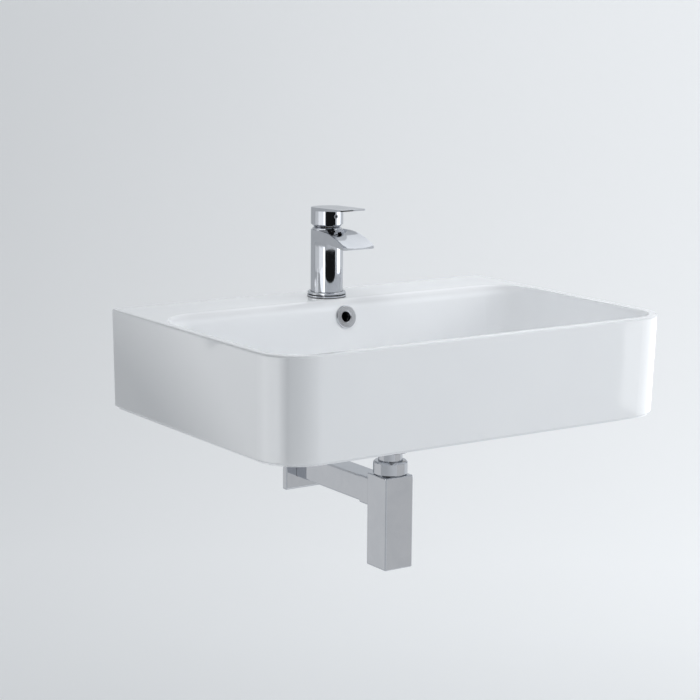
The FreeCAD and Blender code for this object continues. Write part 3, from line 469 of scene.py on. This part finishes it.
def area_light(name, centre, target, size, strength, diffuse=True, glossy=True, beam=180):
    """A soft box of even radiance that the camera doesn't see; beam is in degrees."""
    light = bpy.data.lights.new(name, "AREA")
    light.shape = "RECTANGLE"
    light.size, light.size_y = size
    light.energy = strength * size[0] * size[1] * math.pi
    light.color = lamp_white
    light.spread = math.radians(beam)
    holder = bpy.data.objects.new(name, light)
    scene.collection.objects.link(holder)
    holder.location = centre
    way = Vector(target) - Vector(centre)
    holder.rotation_euler = way.to_track_quat("-Z", "Y").to_euler()
    holder.visible_camera = False
    holder.visible_diffuse = diffuse
    holder.visible_glossy = glossy
    return holder


def tap_light(name, turns, heights, strength):
    """A small soft box that faces the tap, seen only in its polish."""
    turn = math.radians(turns[0] + turns[1]) / 2
    width = 2 * tap_light_r * math.tan(math.radians(turns[1] - turns[0]) / 2)
    height = (heights[0] + heights[1]) / 2
    centre = (tap_axis[0] + tap_light_r * math.sin(turn),
              tap_axis[1] - tap_light_r * math.cos(turn), height)
    size = (width, heights[1] - heights[0])
    light = area_light(name, centre, (*tap_axis, height), size, strength, diffuse=False)
    light.light_linking.receiver_collection = tap_pieces


def world_light(towards, low, high):
    """A pale surround that brightens evenly towards one direction."""
    first_cosine = -0.1  # of the angle at which it starts to brighten
    world = bpy.data.worlds.new("studio")
    world.use_nodes = True
    tree = world.node_tree
    background = next(n for n in tree.nodes if n.type == "BACKGROUND")
    background.inputs["Color"].default_value = (*sky_white, 1)
    coordinates = tree.nodes.new("ShaderNodeTexCoord")
    facing = tree.nodes.new("ShaderNodeVectorMath")
    facing.operation = "DOT_PRODUCT"
    facing.inputs[1].default_value = Vector(towards).normalized()
    link(tree, coordinates.outputs["Generated"], facing.inputs[0])
    strength = spread(tree, facing.outputs["Value"], low, high, first_cosine, 1)
    link(tree, strength, background.inputs["Strength"])
    scene.world = world


# Studio: the floor and the large soft boxes

fill_beam = 70

sweep()
world_light(towards=(0.6, -0.12, 0.8), low=0.21, high=0.93)
area_light("overhead", centre=(0.1, 0.1, 2.6), target=(0, 0, 0), size=(2.6, 2.2),
           strength=0.2, diffuse=False)
area_light("right_front", centre=(1.8, -0.95, 0.45), target=(0.1, -0.1, 0.1), size=(1.5, 1.1),
           strength=2.76, glossy=False)
area_light("left_back", centre=(-1.6, 0.75, 0.45), target=(0.0, 0.0, 0.1), size=(0.9, 0.5),
           strength=1.12)
area_light("bowl_fill", centre=(-0.3, -0.15, 0.95), target=(0.28, -0.03, 0.08), size=(0.7, 0.5),
           strength=0.575, glossy=False, beam=fill_beam)
area_light("wall_fill", centre=(0.25, -0.55, 0.9), target=(-0.15, 0.08, 0.08), size=(0.6, 0.5),
           strength=0.135, glossy=False, beam=fill_beam)
area_light("tray_card", centre=(0.62, 0.64, 0.95), target=(0, 0.1, 0.2), size=(0.7, 0.7),
           strength=0.45, diffuse=False)

# Studio: lit cards that the glaze and the trap mirror, and black flags that the tap mirrors

right_corner = (0.245, -0.155)  # X and Y of the roundings at the basin's front corners
left_corner = (-0.245, -0.155)
side_r = 0.75
trap_axis = (0, 0)
trap_r = 0.6
trap_z = (-0.40, -0.15)
flag_turns = (-43, 26)
corner_glow = glow_material("corner_glow", 2.5)
side_glow = fading_glow("side_glow", 4.3, back_fades=((0.447, 0.560), (0.19, 0.763)),
                        front_fade=(-0.576, -0.276), slant=0.227)
trap_glow_left = glow_material("trap_glow_left", 0.76)
trap_glow_right = glow_material("trap_glow_right", 0.67)
flag_glow = glow_material("black_flag", 0.012)

card("corner_card", corner_glow, right_corner, 0.8, turns=(38.3, 130), heights=(-0.2, -0.01))
card("side_card", side_glow, left_corner, side_r, turns=(-151, -50), heights=(-0.22, 0.012))
card("side_shade", side_glow, left_corner, side_r, turns=(-164, -151), heights=(-0.22, 0.06))
card("trap_card_left", trap_glow_left, trap_axis, trap_r, turns=(-165, -100), heights=trap_z)
card("trap_card_right", trap_glow_right, trap_axis, trap_r, turns=(10, 70), heights=trap_z)
card("tap_flag", flag_glow, tap_axis, tap_light_r, flag_turns, heights=(0.1185, 0.1685),
     corner=(0.15, 0.012, 0.003))
card("hub_flag", flag_glow, tap_axis, tap_light_r, flag_turns, heights=(0.186, 0.30),
     corner=(0.02, 0.004, 0.004))

# Studio: small soft boxes round the tap

bright, dim, faint = 1.6, 0.7, 0.28
body_z = (0.098, 0.172)
hub_z = (0.190, 0.225)

tap_light("tap_edge", (-57, -47), body_z, bright)
tap_light("tap_left", (-88, -57), body_z, dim)
tap_light("tap_far_left", (-122, -88), (0.134, body_z[1]), faint)
tap_light("tap_right", (42, 70), (0.131, body_z[1]), bright)
tap_light("hub_edge", (-57, -47), hub_z, bright)
tap_light("hub_left", (-95, -57), hub_z, dim)
tap_light("hub_far_left", (-122, -95), hub_z, faint)
tap_light("hub_right", (38, 72), hub_z, bright)


# Camera

def add_camera(place_at, yaw, pitch, roll, lens):
    """A level camera turned to the right by yaw, down by pitch and about its axis by roll."""
    forward = Vector((math.sin(yaw) * math.cos(pitch), math.cos(yaw) * math.cos(pitch),
                      -math.sin(pitch)))
    level = Vector((math.cos(yaw), -math.sin(yaw), 0))
    upright = level.cross(forward)
    right = level * math.cos(roll) + upright * math.sin(roll)
    up = upright * math.cos(roll) - level * math.sin(roll)
    camera = bpy.data.cameras.new("camera")
    camera.sensor_width = 36.0
    camera.lens = lens
    holder = bpy.data.objects.new("camera", camera)
    scene.collection.objects.link(holder)
    turn = Matrix((right, up, -forward)).transposed().to_4x4()
    holder.matrix_world = Matrix.Translation(place_at) @ turn
    scene.camera = holder


add_camera(place_at=(-1.47961, -2.09344, 0.55201), yaw=view_yaw,
           pitch=math.radians(10.412), roll=math.radians(0.475), lens=102.9)
scene.view_settings.view_transform = "Standard"
